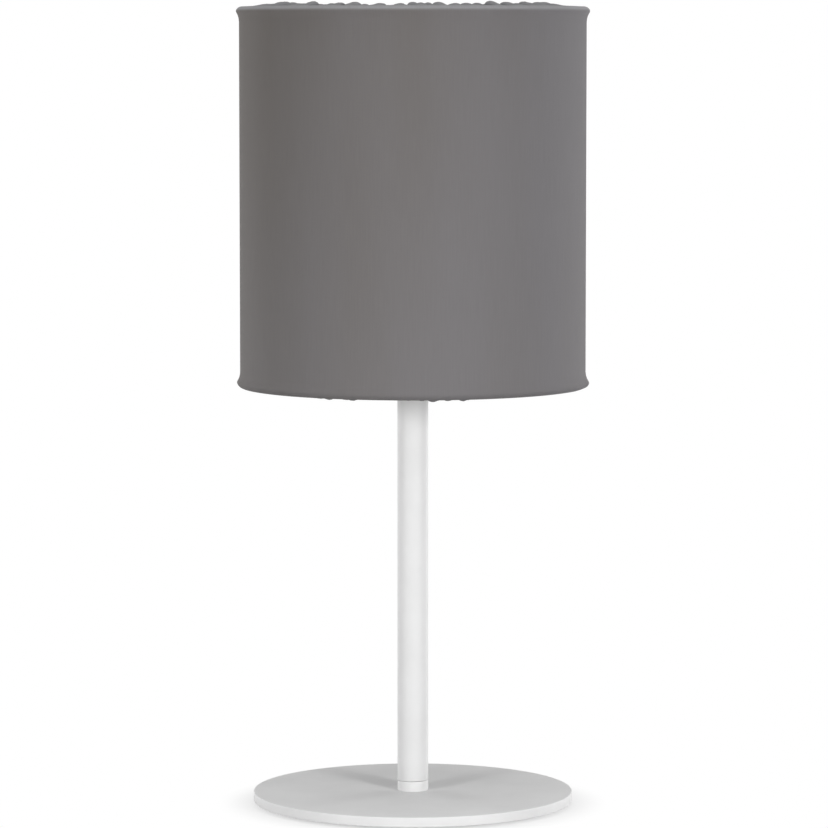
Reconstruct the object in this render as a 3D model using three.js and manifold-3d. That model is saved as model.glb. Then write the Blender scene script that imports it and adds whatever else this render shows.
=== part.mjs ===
// Table lamp: a flat disc base, a plain post and a drum shade.
// The shade's cloth cover is stretched over two wire rings and gathered inside them.
// Millimetres, +Z up. The origin is on the table, under the middle of the base.
import * as THREE from "three";
import { mergeVertices } from "three/addons/utils/BufferGeometryUtils.js";
import Module from "manifold-3d";

const wasm = await Module();
wasm.setup();

// Clearances
const gap = 0.3; // between pieces that are screwed, welded or slipped together
const runningGap = 0.6; // between pieces that come apart by hand

// Base
const baseDiameter = 228;
const plateThickness = 7;
const plateEdge = 0.7;
const footCount = 4;
const footRadius = 7;
const footHeight = 2;
const footTaper = 0.7;
const footInset = 18; // from the edge of the plate to the middle of a foot

// Post
const postDiameter = 22;
const postWall = 1.5;
const postLength = 307.4;
const collarHeight = 7.3;
const collarEdge = 0.4;
const spigotHeight = 3.5; // of the collar's step that centres the tube
const insertLength = 11;
const screwDiameter = 8;
const screwHeadDiameter = 16;
const screwHeadRim = 0.6;
const screwReach = 20; // above the plate
const screwTip = 1;
const hexSocketFlats = 5;
const hexSocketDepth = 3;

// Cable inlet at the back of the post
const cableBore = 6.6;
const grommetWall = 0.7;
const grommetFlangeWidth = 1.8;
const grommetLip = 1.6;
const grommetRise = 1.2; // from the lower insert to the grommet's flange

// Lampholder, with its heights counted from the top of the washer
const nippleDiameter = 10;
const nippleBore = 7.6;
const nippleGrip = 10;
const nippleRise = 7.5;
const washerInset = 0.4; // from the tube's outside in to the washer's rim
const washerThickness = 1.2;
const holderWall = 2.2;
const holderEdge = 0.6;
const holderBush = 8;
const holderShoulder = 10; // height of the cap's round shoulder
const holderUnderside = 9.6; // radius of the cap's flat underside
const holderCapHeight = 23.1;
const holderMouthDrop = 0.9; // from the top of the bulb's cap down to the holder's mouth
const ledgeHeight = 13;
const ledgeWidth = 5;
const blockRise = 1.9; // from the top of the holder's cap to the top of the block
const blockRim = 2.4; // from the side contact out to the edge of the block
const shellBand = 0.6; // height of the shell below its flange
const flangeWidth = 3.9; // past the shade's thread
const flangeThickness = 3;
const threadStep = 0.4; // from the holder's cap out to the shade's thread
const threadLength = 15;
const terminalRadius = 1.5;
const terminalLength = 7;
const terminalHead = 2.8;
const terminalHeadHeight = 2;
const terminalSpacing = 15;
const contactThickness = 0.6;
const contactWidth = 5;
const contactCrown = 3.2; // height of the centre contact's sprung end
const contactRamp = 5; // length of its slope
const sideContactHeight = 11;
const sideContactFoot = 3.5;

// Shade ring, the nut that clamps the shade to the lampholder
const shadeRingWidth = 5.1; // from its bore to the tips of its ribs
const shadeRingHeight = 8;
const shadeRingRibs = 24;
const shadeRingRibDepth = 1;

// Bulb with an E27 cap
const bulbTipRadius = 4.5;
const bulbTipHeight = 1.2;
const bulbInsulatorRadius = 9.5;
const bulbInsulatorHeight = 3.4;
const bulbInsulatorRim = 0.8;
const bulbCapRadius = 13.1;
const bulbCapHeight = 20.8;
const bulbShoulder = 2; // height of the cap's slope below the thread
const bulbCollar = 3; // height of the plain band above the thread
const bulbThreadPitch = 3.63;
const bulbThreadDepth = 1;
const bulbNeckRadius = 13.4;
const bulbHousingInset = 3.8; // how much narrower than the globe the housing is
const bulbHousingHeight = 38;
const bulbSeat = 1.2; // from the housing's rim in to the globe
const bulbRadius = 30;
const bulbGlobeWall = 1;

// Shade
const shadeDiameter = 250; // over the cloth where it wraps the rings
const shadeHeight = 262.8; // between the middles of the two rings
const spiderDrop = 50; // from the fitter ring down to the middle of the bottom ring
const ringWire = 5;
const uprightWire = 3;
const uprightCount = 4;
const fitterWidth = 10.8;
const fitterThickness = 1.5;
const armWire = 3.5;
const armCount = 3;
const armLap = 5.5; // how far an arm runs in under the fitter ring
const armLevel = 5; // how far it runs out level past that ring
const armLanding = 9; // length of its level end at the bottom ring
const armBend = 6; // length of a bend, each side of its corner
const linerThickness = 0.4;
const clothThickness = 0.6;
const wallInset = 2.2; // how far the cover's wall lies inside its widest line
const flareHeight = 7.5; // from the middle of a ring to where the cloth lies flat on the liner
const wrapAngles = [90, 40, -10]; // of the cloth's corners round a ring's wire, in degrees
const lipWidth = 24; // from the cover's widest line in to where the gathers begin
const lipRise = 4.9; // from the middle of the ring up to there
const hemWidth = 10.6; // from there in to the hem's fold
const hemRise = 5.2; // from the middle of the ring up to the fold
const hemLap = 1.6; // how far the turned-in layer stops short of where the gathers begin
const casingRoom = 1.1; // above the elastic, and below it
const elasticWidth = 5;
const elasticThickness = 0.6;
const gatherCount = 44;
const gatherHeight = 0.8;
const gatherUnevenness = 0.25;
const gatherSwells = 5; // slow swells in the gathers' height, round the hem

// Steps round a full turn
const largeSteps = 48;
const postSteps = 32;
const smallSteps = 24;
const tinySteps = 16;
const wireSteps = 8;
const hemSteps = gatherCount * 2;

// Base and post, worked out from the sizes above
const plateRadius = baseDiameter / 2;
const plateTop = footHeight + plateThickness;
const screwRadius = screwDiameter / 2;
const screwHeadRadius = screwHeadDiameter / 2;
const screwHole = screwRadius + gap;
const postRadius = postDiameter / 2;
const postBore = postRadius - postWall;
const collarTop = plateTop + collarHeight;
const spigotTop = collarTop + spigotHeight;
const postBottom = collarTop + gap;
const postTop = postBottom + postLength;
const insertRadius = postBore - gap;
const footInsertBottom = spigotTop + gap;
const footInsertTop = footInsertBottom + insertLength;
const grommetNeck = cableBore + 2 * grommetWall;
const grommetFlange = grommetNeck + 2 * grommetFlangeWidth;
const cableHoleHeight = footInsertTop + grommetRise + grommetFlange / 2;

// Lampholder
const nippleRadius = nippleDiameter / 2;
const nippleHole = nippleRadius + gap;
const holderBase = postTop + washerThickness;
const sideContactInner = bulbCapRadius + gap;
const sideContactOuter = sideContactInner + contactThickness;
const blockRadius = sideContactOuter + blockRim;
const holderInner = blockRadius + runningGap;
const holderRadius = holderInner + holderWall;
const holderBore = Math.hypot(sideContactOuter, contactWidth / 2) + gap;
const holderMouth = bulbCapRadius + runningGap;
const threadRadius = holderRadius + threadStep;
const ledgeTop = holderBase + ledgeHeight;
const holderCapTop = holderBase + holderCapHeight;
const blockTop = holderCapTop + blockRise;
const shellBottom = holderCapTop + gap;
const shadeSeat = shellBottom + shellBand + flangeThickness;
const crownTop = blockTop + contactCrown;
const shadeRingRadius = threadRadius + gap + shadeRingWidth;

// Bulb
const bulbBottom = crownTop + gap;
const bulbInsulatorBottom = bulbBottom + bulbTipHeight;
const bulbCapBottom = bulbInsulatorBottom + bulbInsulatorHeight;
const bulbCapTop = bulbCapBottom + bulbCapHeight;
const bulbHousingTop = bulbCapTop + bulbHousingHeight;
const bulbHousingRadius = bulbRadius - bulbHousingInset;
const holderTop = bulbCapTop - holderMouthDrop;

// Shade, whose hems clear the flats of the sleeve's edges
const fitterInner = threadRadius + runningGap;
const fitterOuter = fitterInner + fitterWidth;
const fitterTop = shadeSeat + fitterThickness;
const bottomRingHeight = shadeSeat - spiderDrop;
const topRingHeight = bottomRingHeight + shadeHeight;
const shadeRadius = shadeDiameter / 2;
const ringRadius = ringWire / 2;
const halfWrapStep = THREE.MathUtils.degToRad(wrapAngles[0] - wrapAngles[1]) / 2;
const wrapInner = (ringRadius + gap) / Math.cos(halfWrapStep);
const wrapOuter = wrapInner + clothThickness;
const ringCentre = shadeRadius - wrapOuter;
const wallOuter = shadeRadius - wallInset;
const wallInner = wallOuter - clothThickness;
const linerOuter = wallInner - gap;
const linerInner = linerOuter - linerThickness;
const hemOuter = ringCentre * Math.cos(Math.PI / largeSteps) - gap;
const gatherRadius = shadeRadius - lipWidth;
const hemInner = gatherRadius - hemWidth;
const hemDepth = elasticThickness + 2 * (casingRoom + clothThickness);

const finishes = {
  whitePaint: new THREE.MeshStandardMaterial({ color: "#eeedec", roughness: 0.55, metalness: 0 }),
  steel: new THREE.MeshStandardMaterial({ color: "#a9abad", roughness: 0.4, metalness: 1 }),
  brass: new THREE.MeshStandardMaterial({ color: "#c9a65a", roughness: 0.35, metalness: 1 }),
  nickel: new THREE.MeshStandardMaterial({ color: "#c4c2bb", roughness: 0.3, metalness: 1 }),
  rubber: new THREE.MeshStandardMaterial({ color: "#2b2b2c", roughness: 0.85, metalness: 0 }),
  whiteRubber: new THREE.MeshStandardMaterial({ color: "#d9d8d5", roughness: 0.8, metalness: 0 }),
  whitePlastic: new THREE.MeshStandardMaterial({ color: "#e9e8e4", roughness: 0.5, metalness: 0 }),
  blackGlass: new THREE.MeshStandardMaterial({ color: "#161515", roughness: 0.25, metalness: 0 }),
  opalPlastic: new THREE.MeshStandardMaterial({ color: "#f2f1ec", roughness: 0.4, metalness: 0 }),
  linerSheet: new THREE.MeshStandardMaterial({ color: "#eae8e3", roughness: 0.6, metalness: 0 }),
  greyCloth: new THREE.MeshStandardMaterial({ color: "#777371", roughness: 0.9, metalness: 0 }),
  elasticBand: new THREE.MeshStandardMaterial({ color: "#4a4948", roughness: 0.9, metalness: 0 }),
};

// A body of revolution about Z. Its section is a list of [radius, height] corners, anticlockwise.
function turned(section, steps = smallSteps) {
  const outline = section.map(([radius, height]) => new THREE.Vector2(radius, height));
  if (section[0][0] > 0) outline.push(outline[0].clone());
  return new THREE.LatheGeometry(outline, steps).rotateX(Math.PI / 2);
}

function tubeBody(outer, inner, bottom, top, steps = smallSteps) {
  const section = [
    [outer, bottom],
    [outer, top],
    [inner, top],
    [inner, bottom],
  ];
  return turned(section, steps);
}

function discBody(radius, bottom, top, steps = smallSteps) {
  const section = [
    [0, bottom],
    [radius, bottom],
    [radius, top],
    [0, top],
  ];
  return turned(section, steps);
}

// A strip whose outline lies in X and Z, bent from one flat band
function bandBody(corners, width) {
  const outline = new THREE.Shape(corners.map(([x, z]) => new THREE.Vector2(x, z)));
  const band = new THREE.ExtrudeGeometry(outline, { depth: width, bevelEnabled: false });
  return band.rotateX(Math.PI / 2).translate(0, width / 2, 0);
}

// A path along straight stretches, with its corners rounded
function bentPath(corners, bend) {
  const path = new THREE.CurvePath();
  const toward = (from, to) => from.clone().lerp(to, bend / from.distanceTo(to));
  let start = corners[0];
  for (let i = 1; i < corners.length - 1; i++) {
    const before = toward(corners[i], corners[i - 1]);
    const after = toward(corners[i], corners[i + 1]);
    path.add(new THREE.LineCurve3(start, before));
    path.add(new THREE.QuadraticBezierCurve3(before, corners[i], after));
    start = after;
  }
  path.add(new THREE.LineCurve3(start, corners.at(-1)));
  return path;
}

function toSolid(geometry) {
  const bare = geometry.clone();
  bare.deleteAttribute("normal");
  bare.deleteAttribute("uv");
  const merged = mergeVertices(bare, 1e-4);
  const mesh = new wasm.Mesh({
    numProp: 3,
    vertProperties: merged.attributes.position.array,
    triVerts: new Uint32Array(merged.index.array),
  });
  return new wasm.Manifold(mesh);
}

function toGeometry(solid) {
  const { vertProperties, triVerts } = solid.getMesh();
  const geometry = new THREE.BufferGeometry();
  geometry.setAttribute("position", new THREE.BufferAttribute(vertProperties, 3));
  geometry.setIndex(new THREE.BufferAttribute(triVerts, 1));
  geometry.computeVertexNormals();
  return geometry;
}

// Moves each point of a turned body out and up by what change gives for its radius, angle and height.
function reshaped(geometry, change) {
  const points = geometry.attributes.position;
  for (let i = 0; i < points.count; i++) {
    const x = points.getX(i);
    const y = points.getY(i);
    const z = points.getZ(i);
    const radius = Math.hypot(x, y);
    if (radius === 0) continue;
    const { out = 0, up = 0 } = change(radius, Math.atan2(y, x), z);
    const stretch = (radius + out) / radius;
    points.setXYZ(i, x * stretch, y * stretch, z + up);
  }
  geometry.computeVertexNormals();
  return geometry;
}

function piece(name, geometry, finish) {
  const mesh = new THREE.Mesh(geometry, finish);
  mesh.name = name;
  return mesh;
}

function numbered(count, make) {
  return Array.from({ length: count }, (_, i) => make(i + 1));
}

// Stands copy number i of a count on a circle about Z. The first lies half a step round from +X.
function placeRound(mesh, number, count, radius, height) {
  const angle = ((number - 0.5) / count) * 2 * Math.PI;
  mesh.position.set(radius * Math.cos(angle), radius * Math.sin(angle), height);
  return mesh;
}

// Base

function makeBasePlate() {
  const sinkRadius = screwHeadRadius + gap;
  const sinkRim = footHeight + gap + screwHeadRim;
  const section = [
    [plateRadius - plateEdge, footHeight],
    [plateRadius, footHeight + plateEdge],
    [plateRadius, plateTop - plateEdge],
    [plateRadius - plateEdge, plateTop],
    [screwHole, plateTop],
    [screwHole, sinkRim + sinkRadius - screwHole],
    [sinkRadius, sinkRim],
    [sinkRadius, footHeight],
  ];
  return piece("base_plate", turned(section, largeSteps), finishes.whitePaint);
}

function makeFoot(number) {
  const section = [
    [0, 0],
    [footRadius - footTaper, 0],
    [footRadius, footHeight],
    [0, footHeight],
  ];
  const foot = piece(`foot_${number}`, turned(section, tinySteps), finishes.rubber);
  return placeRound(foot, number, footCount, plateRadius - footInset, 0);
}

// A countersunk screw, flush under the plate, that pulls the tube down on its collar
function makeBaseScrew() {
  const bottom = footHeight + gap;
  const tip = plateTop + screwReach;
  const section = [
    [0, bottom],
    [screwHeadRadius, bottom],
    [screwHeadRadius, bottom + screwHeadRim],
    [screwRadius, bottom + screwHeadRim + screwHeadRadius - screwRadius],
    [screwRadius, tip - screwTip],
    [screwRadius - screwTip, tip],
    [0, tip],
  ];
  const socketRadius = hexSocketFlats / Math.sqrt(3);
  const socket = new THREE.CylinderGeometry(socketRadius, socketRadius, 2 * hexSocketDepth, 6);
  socket.rotateX(Math.PI / 2).translate(0, 0, bottom);
  const screw = toSolid(turned(section, tinySteps)).subtract(toSolid(socket));
  return piece("base_screw", toGeometry(screw), finishes.steel);
}

// Post

function makePostCollar() {
  const section = [
    [postRadius - collarEdge, plateTop],
    [postRadius, plateTop + collarEdge],
    [postRadius, collarTop - collarEdge],
    [postRadius - collarEdge, collarTop],
    [insertRadius, collarTop],
    [insertRadius, spigotTop],
    [screwHole, spigotTop],
    [screwHole, plateTop],
  ];
  return piece("post_collar", turned(section, postSteps), finishes.whitePaint);
}

// A round bar at the height of the cable hole, lying along Y
function cableBar(radius, from, to) {
  return toSolid(
    discBody(radius, from, to)
      .rotateX(-Math.PI / 2)
      .translate(0, 0, cableHoleHeight),
  );
}

function makePostTube() {
  const tube = tubeBody(postRadius, postBore, postBottom, postTop, postSteps);
  const hole = cableBar(grommetNeck / 2 + gap, 0, postDiameter);
  return piece("post_tube", toGeometry(toSolid(tube).subtract(hole)), finishes.whitePaint);
}

function makeInsert(name, bore, bottom) {
  const insert = tubeBody(insertRadius, bore, bottom, bottom + insertLength);
  return piece(name, insert, finishes.steel);
}

// The grommet's flanges lie against the round wall of the tube, inside and outside.
function makeCableGrommet() {
  const inside = postBore - gap - grommetLip;
  const outside = postRadius + gap + grommetLip;
  const wall = tubeBody(
    postRadius + gap,
    postBore - gap,
    cableHoleHeight - grommetFlange,
    cableHoleHeight + grommetFlange,
    postSteps,
  );
  const flanges = cableBar(grommetFlange / 2, inside, outside).subtract(toSolid(wall));
  const neck = cableBar(grommetNeck / 2, inside, outside);
  const bore = cableBar(cableBore / 2, 0, 2 * outside);
  return piece("cable_grommet", toGeometry(flanges.add(neck).subtract(bore)), finishes.whiteRubber);
}

// Lampholder

function makeHolderNipple() {
  const nipple = tubeBody(
    nippleRadius,
    nippleBore / 2,
    postTop - nippleGrip,
    holderBase + nippleRise,
    tinySteps,
  );
  return piece("holder_nipple", nipple, finishes.steel);
}

function makeHolderWasher() {
  const washer = tubeBody(postRadius - washerInset, nippleHole, postTop, holderBase);
  return piece("holder_washer", washer, finishes.steel);
}

function makeHolderCap() {
  const shoulderSteps = 3;
  const section = [];
  for (let i = 0; i <= shoulderSteps; i++) {
    const angle = ((i / shoulderSteps) * Math.PI) / 2;
    const radius = THREE.MathUtils.lerp(holderUnderside, holderRadius, Math.sin(angle));
    section.push([radius, holderBase + holderShoulder * (1 - Math.cos(angle))]);
  }
  section.push(
    [holderRadius, holderCapTop],
    [holderInner, holderCapTop],
    [holderInner, ledgeTop],
    [holderInner - ledgeWidth, ledgeTop],
    [holderInner - ledgeWidth, holderBase + holderBush],
    [nippleHole, holderBase + holderBush],
    [nippleHole, holderBase],
  );
  return piece("holder_cap", turned(section), finishes.whitePlastic);
}

// The block stands on the cap's ledge and carries the contacts.
function makeHolderBlock() {
  let block = toSolid(discBody(blockRadius, ledgeTop, blockTop));
  for (const side of [-0.5, 0.5]) {
    const hole = discBody(
      terminalRadius + gap,
      ledgeTop - terminalLength,
      ledgeTop + terminalLength + gap,
      tinySteps,
    );
    block = block.subtract(toSolid(hole.translate(side * terminalSpacing, 0, 0)));
  }
  return piece("holder_block", toGeometry(block), finishes.whitePlastic);
}

// The shell is slipped over the block and screwed to the cap. The shade's flange and thread are on it.
function makeHolderShell() {
  const threadTop = shadeSeat + threadLength;
  const skirt = threadRadius - 2 * holderEdge;
  const section = [
    [holderRadius, shellBottom],
    [holderRadius, shadeSeat - flangeThickness],
    [threadRadius + flangeWidth, shadeSeat - flangeThickness],
    [threadRadius + flangeWidth, shadeSeat],
    [threadRadius, shadeSeat],
    [threadRadius, threadTop],
    [skirt, threadTop + holderEdge],
    [skirt, holderTop - holderEdge],
    [skirt - holderEdge, holderTop],
    [holderMouth, holderTop],
    [holderMouth, holderTop - holderWall],
    [holderBore, holderTop - holderWall],
    [holderBore, blockTop + gap],
    [blockRadius + gap, blockTop + gap],
    [blockRadius + gap, shellBottom],
  ];
  return piece("holder_shell", turned(section), finishes.whitePlastic);
}

function makeTerminalScrew(number) {
  const section = [
    [0, -terminalHeadHeight],
    [terminalHead, -terminalHeadHeight],
    [terminalHead, 0],
    [terminalRadius, 0],
    [terminalRadius, terminalLength],
    [0, terminalLength],
  ];
  const screw = piece(`terminal_screw_${number}`, turned(section, tinySteps), finishes.brass);
  screw.position.set((number - 1.5) * terminalSpacing, 0, ledgeTop);
  return screw;
}

// A sprung tongue that presses up on the bulb's tip
function makeCentreContact() {
  const foot = -sideContactInner;
  const crown = bulbTipRadius;
  const ramp = -contactRamp / 2 - contactThickness;
  const corners = [
    [foot, blockTop],
    [ramp - contactRamp / 2, blockTop],
    [ramp + contactRamp / 2, crownTop - contactThickness],
    [crown, crownTop - contactThickness],
    [crown, crownTop],
    [ramp + contactRamp / 2 - contactThickness / 2, crownTop],
    [ramp - contactRamp / 2 - contactThickness / 2, blockTop + contactThickness],
    [foot, blockTop + contactThickness],
  ];
  return piece("centre_contact", bandBody(corners, contactWidth), finishes.brass);
}

// A strip that stands beside the bulb cap's thread
function makeSideContact() {
  const foot = sideContactOuter - sideContactFoot;
  const top = blockTop + sideContactHeight;
  const corners = [
    [foot, blockTop],
    [sideContactOuter, blockTop],
    [sideContactOuter, top],
    [sideContactInner, top],
    [sideContactInner, blockTop + contactThickness],
    [foot, blockTop + contactThickness],
  ];
  return piece("side_contact", bandBody(corners, contactWidth), finishes.brass);
}

// Shade ring

function makeShadeRing() {
  const corners = numbered(2 * shadeRingRibs, (number) => {
    const angle = (number / shadeRingRibs) * Math.PI;
    const radius = shadeRingRadius - (number % 2) * shadeRingRibDepth;
    return new THREE.Vector2(radius * Math.cos(angle), radius * Math.sin(angle));
  });
  const outline = new THREE.Shape(corners);
  outline.holes.push(new THREE.Path().absarc(0, 0, threadRadius + gap, 0, 2 * Math.PI, true));
  const ring = new THREE.ExtrudeGeometry(outline, {
    depth: shadeRingHeight,
    bevelEnabled: false,
    curveSegments: smallSteps / 2,
  });
  return piece("shade_ring", ring.translate(0, 0, fitterTop), finishes.whitePlastic);
}

// Bulb

function makeBulbContact() {
  const contact = discBody(bulbTipRadius, bulbBottom, bulbInsulatorBottom, tinySteps);
  return piece("bulb_contact", contact, finishes.nickel);
}

function makeBulbInsulator() {
  const section = [
    [0, bulbInsulatorBottom],
    [bulbTipRadius, bulbInsulatorBottom],
    [bulbInsulatorRadius, bulbCapBottom - bulbInsulatorRim],
    [bulbInsulatorRadius, bulbCapBottom],
    [0, bulbCapBottom],
  ];
  return piece("bulb_insulator", turned(section), finishes.blackGlass);
}

// The thread is one helical groove that fades in and out at its ends.
function makeBulbCap() {
  const rows = 16;
  const threadBottom = bulbCapBottom + bulbShoulder;
  const threadTop = bulbCapTop - bulbCollar;
  const section = [
    [0, bulbCapBottom],
    [bulbInsulatorRadius, bulbCapBottom],
  ];
  for (let i = 0; i <= rows; i++) {
    section.push([bulbCapRadius, THREE.MathUtils.lerp(threadBottom, threadTop, i / rows)]);
  }
  section.push([bulbCapRadius, bulbCapTop], [0, bulbCapTop]);
  const cap = reshaped(turned(section), (radius, angle, height) => {
    const inside = Math.min(height - threadBottom, threadTop - height);
    const fade = THREE.MathUtils.clamp(inside / bulbThreadPitch, 0, 1);
    const turn = (2 * Math.PI * height) / bulbThreadPitch - angle;
    return { out: (-fade * bulbThreadDepth * (1 - Math.cos(turn))) / 2 };
  });
  return piece("bulb_cap", cap, finishes.nickel);
}

function makeBulbHousing() {
  const rows = 5;
  const section = [[0, bulbCapTop]];
  for (let i = 0; i <= rows; i++) {
    const share = i / rows;
    const radius = THREE.MathUtils.lerp(
      bulbNeckRadius,
      bulbHousingRadius,
      Math.sin((share * Math.PI) / 2),
    );
    section.push([radius, bulbCapTop + share * bulbHousingHeight]);
  }
  section.push([0, bulbHousingTop]);
  return piece("bulb_housing", turned(section), finishes.whitePlastic);
}

// A hollow dome, open below, that stands on the housing
function makeBulbGlobe() {
  const rows = 7;
  const rim = bulbHousingRadius - bulbSeat;
  const centre = bulbHousingTop + Math.sqrt(bulbRadius ** 2 - rim ** 2);
  const arc = (radius) => {
    const lowest = Math.asin((bulbHousingTop - centre) / radius);
    return numbered(rows, (number) => {
      const angle = THREE.MathUtils.lerp(Math.PI / 2, lowest, number / rows);
      return [radius * Math.cos(angle), centre + radius * Math.sin(angle)];
    });
  };
  const inner = bulbRadius - bulbGlobeWall;
  const section = [
    [0, centre + inner],
    ...arc(inner),
    ...arc(bulbRadius).reverse(),
    [0, centre + bulbRadius],
  ];
  return piece("bulb_globe", turned(section), finishes.opalPlastic);
}

// Shade frame

function makeFitterRing() {
  const ring = tubeBody(fitterOuter, fitterInner, shadeSeat, fitterTop);
  return piece("fitter_ring", ring, finishes.whitePaint);
}

function makeWireRing(name, height) {
  const ring = new THREE.TorusGeometry(ringCentre, ringRadius, wireSteps, largeSteps);
  return piece(name, ring.translate(0, 0, height), finishes.whitePaint);
}

// The uprights stand between the rings, just inside the flats of the liner.
function makeUpright(number) {
  const radius = uprightWire / 2;
  const length = shadeHeight - 2 * (ringRadius + gap);
  const reach = linerInner * Math.cos(Math.PI / largeSteps) - gap - radius;
  const wire = new THREE.CylinderGeometry(radius, radius, length, wireSteps).rotateX(Math.PI / 2);
  const upright = piece(`upright_${number}`, wire, finishes.whitePaint);
  return placeRound(upright, number, uprightCount, reach, bottomRingHeight + shadeHeight / 2);
}

// An arm is welded under the fitter ring, runs out level, slopes down and meets the bottom ring.
function makeSpiderArm(number) {
  const radius = armWire / 2;
  const high = shadeSeat - gap - radius;
  const end = ringCentre - ringRadius - gap;
  const corners = [
    new THREE.Vector3(fitterOuter - armLap, 0, high),
    new THREE.Vector3(fitterOuter + armLevel, 0, high),
    new THREE.Vector3(end - armLanding, 0, bottomRingHeight),
    new THREE.Vector3(end, 0, bottomRingHeight),
  ];
  const wire = new THREE.ExtrudeGeometry(new THREE.Shape().absarc(0, 0, radius, 0, 2 * Math.PI), {
    steps: 18,
    curveSegments: wireSteps / 2,
    extrudePath: bentPath(corners, armBend),
  });
  const arm = piece(`spider_arm_${number}`, wire, finishes.whitePaint);
  arm.rotation.z = Math.PI / 2 + (number / armCount) * 2 * Math.PI;
  return arm;
}

function makeShadeLiner() {
  const end = ringRadius + gap;
  const liner = tubeBody(
    linerOuter,
    linerInner,
    bottomRingHeight + end,
    topRingHeight - end,
    largeSteps,
  );
  return piece("shade_liner", liner, finishes.linerSheet);
}

// Cloth cover

// One face of the cloth at one ring, from the seam on the ring to the wall.
// Up is 1 at the top ring and -1 at the bottom one.
function sleeveEnd(ringHeight, up, wrap, wall) {
  const wrapped = wrapAngles.map((degrees) => {
    const angle = THREE.MathUtils.degToRad(degrees);
    return [ringCentre + wrap * Math.cos(angle), ringHeight + up * wrap * Math.sin(angle)];
  });
  return [
    ...wrapped,
    [wall + wallInset / 3, ringHeight - (up * flareHeight) / 2],
    [wall, ringHeight - up * flareHeight],
  ];
}

function makeCoverSleeve() {
  const section = [
    ...sleeveEnd(bottomRingHeight, -1, wrapOuter, wallOuter),
    ...sleeveEnd(topRingHeight, 1, wrapOuter, wallOuter).reverse(),
    ...sleeveEnd(topRingHeight, 1, wrapInner, wallInner),
    ...sleeveEnd(bottomRingHeight, -1, wrapInner, wallInner).reverse(),
  ];
  return piece("cover_sleeve", turned(section, largeSteps), finishes.greyCloth);
}

// Puckers a hem or its elastic up and down, more and more towards the mouth of the shade
function gathered(geometry) {
  return reshaped(geometry, (radius, angle) => {
    const share = THREE.MathUtils.clamp((gatherRadius - radius) / hemWidth, 0, 1);
    const height = gatherHeight * (1 + gatherUnevenness * Math.cos(gatherSwells * angle));
    return { up: share * height * Math.cos(gatherCount * angle) };
  });
}

// From the seam on the ring inwards, then folded back under itself into a casing for the elastic
function makeHem(name, ringHeight, up) {
  const at = (radius, rise) => [radius, ringHeight + up * rise];
  const fold = hemRise - hemDepth;
  const section = [
    at(hemInner, fold),
    at(gatherRadius - hemLap, fold),
    at(gatherRadius - hemLap, fold + clothThickness),
    at(hemInner + clothThickness, fold + clothThickness),
    at(hemInner + clothThickness, hemRise - clothThickness),
    at(gatherRadius, lipRise - clothThickness),
    at(hemOuter, wrapInner),
    at(hemOuter, wrapOuter),
    at(gatherRadius, lipRise),
    at(hemInner, hemRise),
  ];
  const hem = turned(up > 0 ? section : section.reverse(), hemSteps);
  return piece(name, gathered(hem), finishes.greyCloth);
}

function makeElastic(name, ringHeight, up) {
  const inner = hemInner + clothThickness + gap;
  const middle = ringHeight + up * (hemRise - hemDepth / 2);
  const band = tubeBody(
    inner + elasticWidth,
    inner,
    middle - elasticThickness / 2,
    middle + elasticThickness / 2,
    hemSteps,
  );
  return piece(name, gathered(band), finishes.elasticBand);
}

// Assembly

function groupOf(...meshes) {
  const group = new THREE.Group();
  group.add(...meshes);
  return group;
}

const base = groupOf(makeBasePlate(), ...numbered(footCount, makeFoot), makeBaseScrew());

const post = groupOf(
  makePostCollar(),
  makePostTube(),
  makeInsert("tube_foot_insert", screwHole, footInsertBottom),
  makeInsert("tube_top_insert", nippleHole, postTop - insertLength),
  makeCableGrommet(),
);

const lampholder = groupOf(
  makeHolderNipple(),
  makeHolderWasher(),
  makeHolderCap(),
  makeHolderBlock(),
  ...numbered(2, makeTerminalScrew),
  makeHolderShell(),
  makeCentreContact(),
  makeSideContact(),
);

const shadeFrame = groupOf(
  makeFitterRing(),
  ...numbered(armCount, makeSpiderArm),
  makeWireRing("bottom_ring", bottomRingHeight),
  makeWireRing("top_ring", topRingHeight),
  ...numbered(uprightCount, makeUpright),
  makeShadeLiner(),
);

const shadeCover = groupOf(
  makeCoverSleeve(),
  makeHem("bottom_hem", bottomRingHeight, -1),
  makeHem("top_hem", topRingHeight, 1),
  makeElastic("bottom_elastic", bottomRingHeight, -1),
  makeElastic("top_elastic", topRingHeight, 1),
);

const bulb = groupOf(
  makeBulbContact(),
  makeBulbInsulator(),
  makeBulbCap(),
  makeBulbHousing(),
  makeBulbGlobe(),
);

const stand = groupOf(base, post, lampholder);
const shade = groupOf(shadeFrame, shadeCover);
const lamp = groupOf(stand, shade, makeShadeRing(), bulb);

export default lamp;
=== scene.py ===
# Table lamp: the looks of a drum-shade lamp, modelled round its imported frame
import random
from math import asin, atan2, cos, dist, exp, hypot, pi, radians, sin, sqrt

import bmesh
import bpy
from mathutils import Matrix, Vector, noise


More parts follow.
